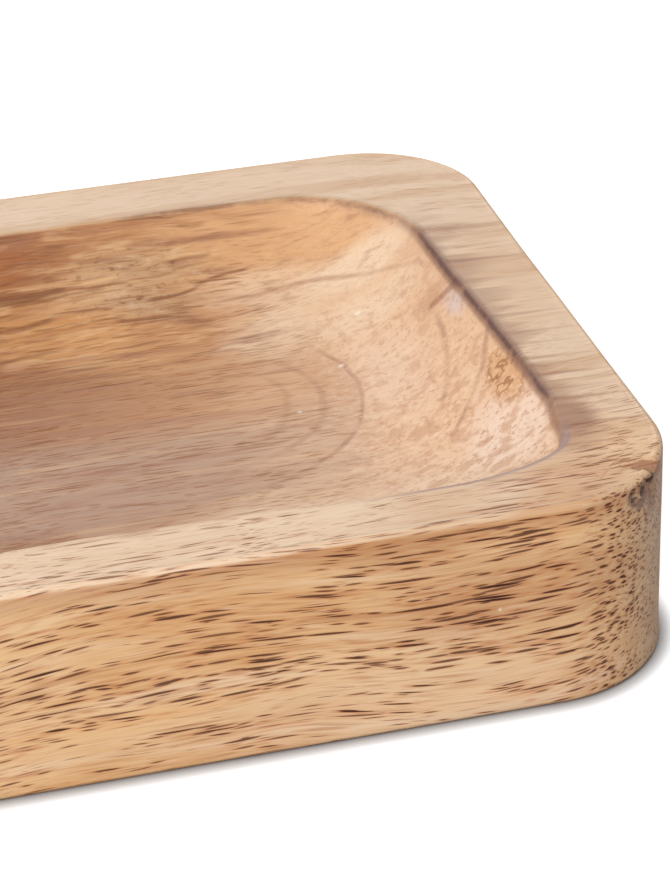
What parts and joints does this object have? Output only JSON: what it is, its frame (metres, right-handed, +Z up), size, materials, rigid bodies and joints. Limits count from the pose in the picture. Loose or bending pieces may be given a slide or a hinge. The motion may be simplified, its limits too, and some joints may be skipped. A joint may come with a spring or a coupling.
{
  "type": "soap dish",
  "caption": "Oblong wooden soap dish with rounded corners, a flat rim and a shallow basin with curved slopes carved into its top.",
  "frame": {"origin": "middle of the flat underside, on the surface that the dish stands on", "axes": "+X along the length and the grain, towards the end that the picture shows; +Y across the dish, away from the viewer; +Z up, out of the basin"},
  "size_m": [0.13, 0.083, 0.021],
  "materials": {
    "carved_wood": "satin, oiled, open-pored hardwood with its grain along X"
  },
  "bodies": {
    "root": {"dish_body": "carved_wood"}
  },
  "joints": []
}
